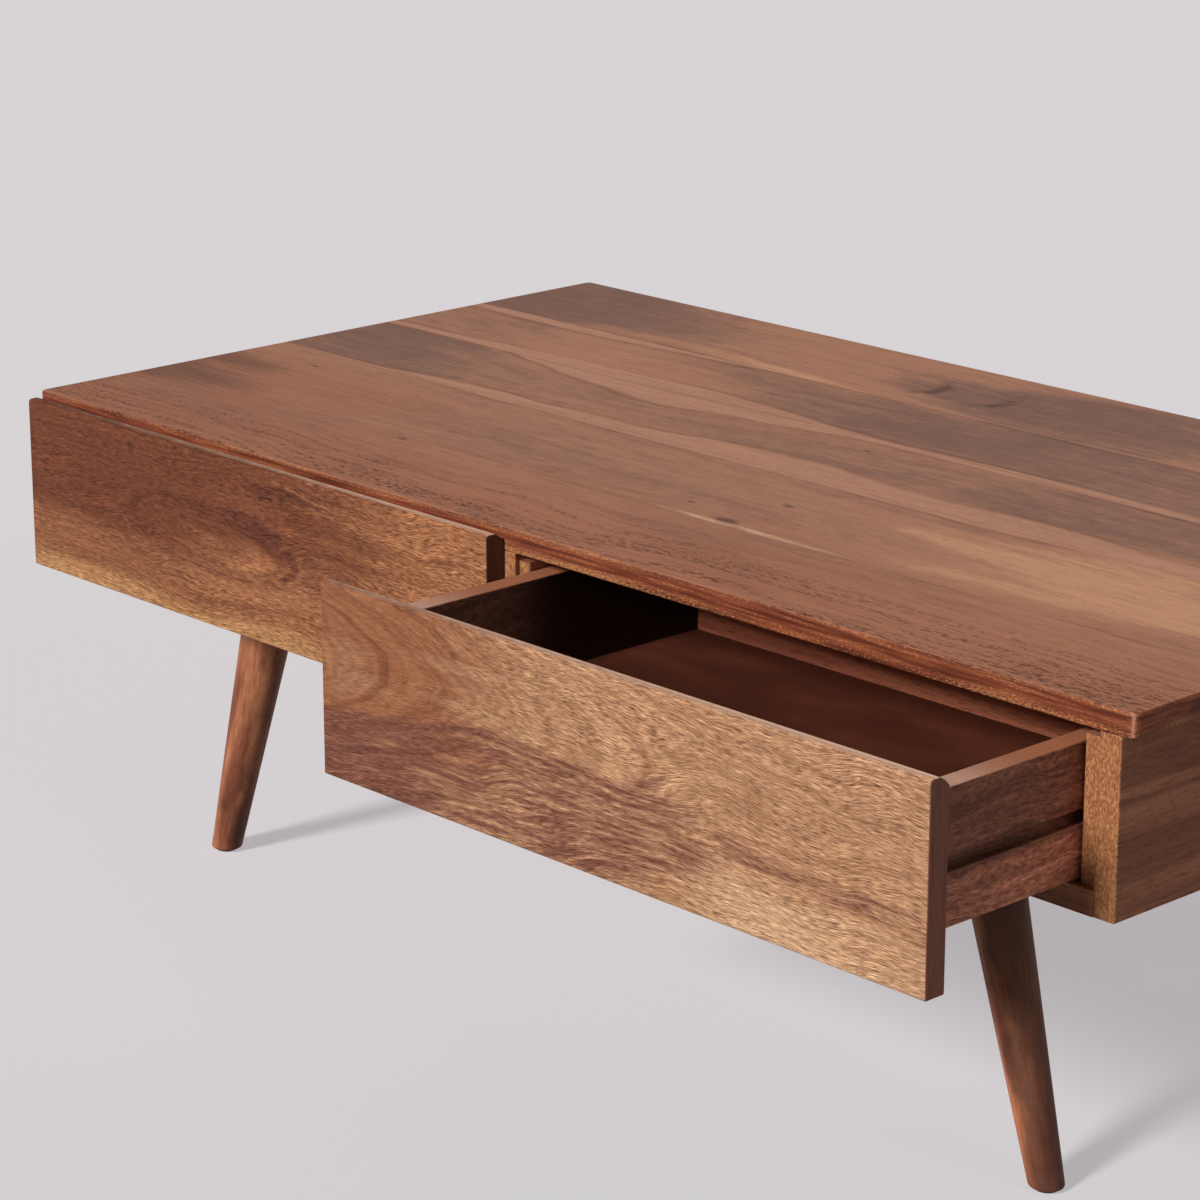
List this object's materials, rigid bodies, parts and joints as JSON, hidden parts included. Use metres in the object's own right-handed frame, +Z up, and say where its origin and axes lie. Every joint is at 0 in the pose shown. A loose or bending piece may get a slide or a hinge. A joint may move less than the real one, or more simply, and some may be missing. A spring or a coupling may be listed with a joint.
{
  "type": "coffee table with drawers",
  "caption": "Low rectangular wooden coffee table on splayed tapered round legs, with side-by-side drawers that slide on wooden runners and open by a finger pull along the front's top edge.",
  "frame": {"origin": "on the floor, under the middle of the part's outer box as stored, with the right-hand drawer open as pictured", "axes": "+X along the table's length to the right as seen from the drawer fronts, -Y the way the drawer fronts face and the drawers pull out, +Z up"},
  "size_m": [1.2, 0.8266, 0.405],
  "materials": {
    "top_wood": "satin lacquered hardwood planks",
    "front_wood": "satin lacquered figured hardwood",
    "carcass_wood": "satin lacquered hardwood",
    "drawer_wood": "satin stained hardwood",
    "runner_wood": "bare waxed hardwood",
    "stained_ply": "dark stained thin panel",
    "leg_wood": "satin lacquered turned hardwood",
    "dowel_wood": "bare beech",
    "zinc_steel": "zinc plated",
    "felt": "pressed felt"
  },
  "bodies": {
    "carcass": {"back_panel": "carcass_wood", "bottom_panel": "carcass_wood", "carcass_dowels": "dowel_wood", "centre_divider": "carcass_wood", "divider_packer_left": "carcass_wood", "divider_packer_right": "carcass_wood", "divider_screws": "zinc_steel", "foot_pads": "felt", "leg_back_left": "leg_wood", "leg_back_right": "leg_wood", "leg_bolts": "zinc_steel", "leg_front_left": "leg_wood", "leg_front_right": "leg_wood", "leg_plate_back_left": "zinc_steel", "leg_plate_back_right": "zinc_steel", "leg_plate_front_left": "zinc_steel", "leg_plate_front_right": "zinc_steel", "leg_plate_screws": "zinc_steel", "packer_screws": "zinc_steel", "runner_left_inner": "runner_wood", "runner_left_outer": "runner_wood", "runner_right_inner": "runner_wood", "runner_right_outer": "runner_wood", "runner_screws": "zinc_steel", "side_packer_left": "carcass_wood", "side_packer_right": "carcass_wood", "side_panel_left": "carcass_wood", "side_panel_right": "carcass_wood", "table_top": "top_wood", "top_dowels": "dowel_wood"},
    "drawer_left": {"drawer_left_back": "drawer_wood", "drawer_left_base": "stained_ply", "drawer_left_box_front": "drawer_wood", "drawer_left_dowels": "dowel_wood", "drawer_left_front": "front_wood", "drawer_left_front_screws": "zinc_steel", "drawer_left_inner_side": "drawer_wood", "drawer_left_outer_side": "drawer_wood"},
    "drawer_right": {"drawer_right_back": "drawer_wood", "drawer_right_base": "stained_ply", "drawer_right_box_front": "drawer_wood", "drawer_right_dowels": "dowel_wood", "drawer_right_front": "front_wood", "drawer_right_front_screws": "zinc_steel", "drawer_right_inner_side": "drawer_wood", "drawer_right_outer_side": "drawer_wood"}
  },
  "joints": [
    {"name": "drawer_left_slide", "type": "slide", "parent": "carcass", "child": "drawer_left", "axis": [0, -1, 0], "range_m": [0, 0.27]},
    {"name": "drawer_right_slide", "type": "slide", "parent": "carcass", "child": "drawer_right", "axis": [0, -1, 0], "range_m": [-0.164, 0.106]}
  ]
}
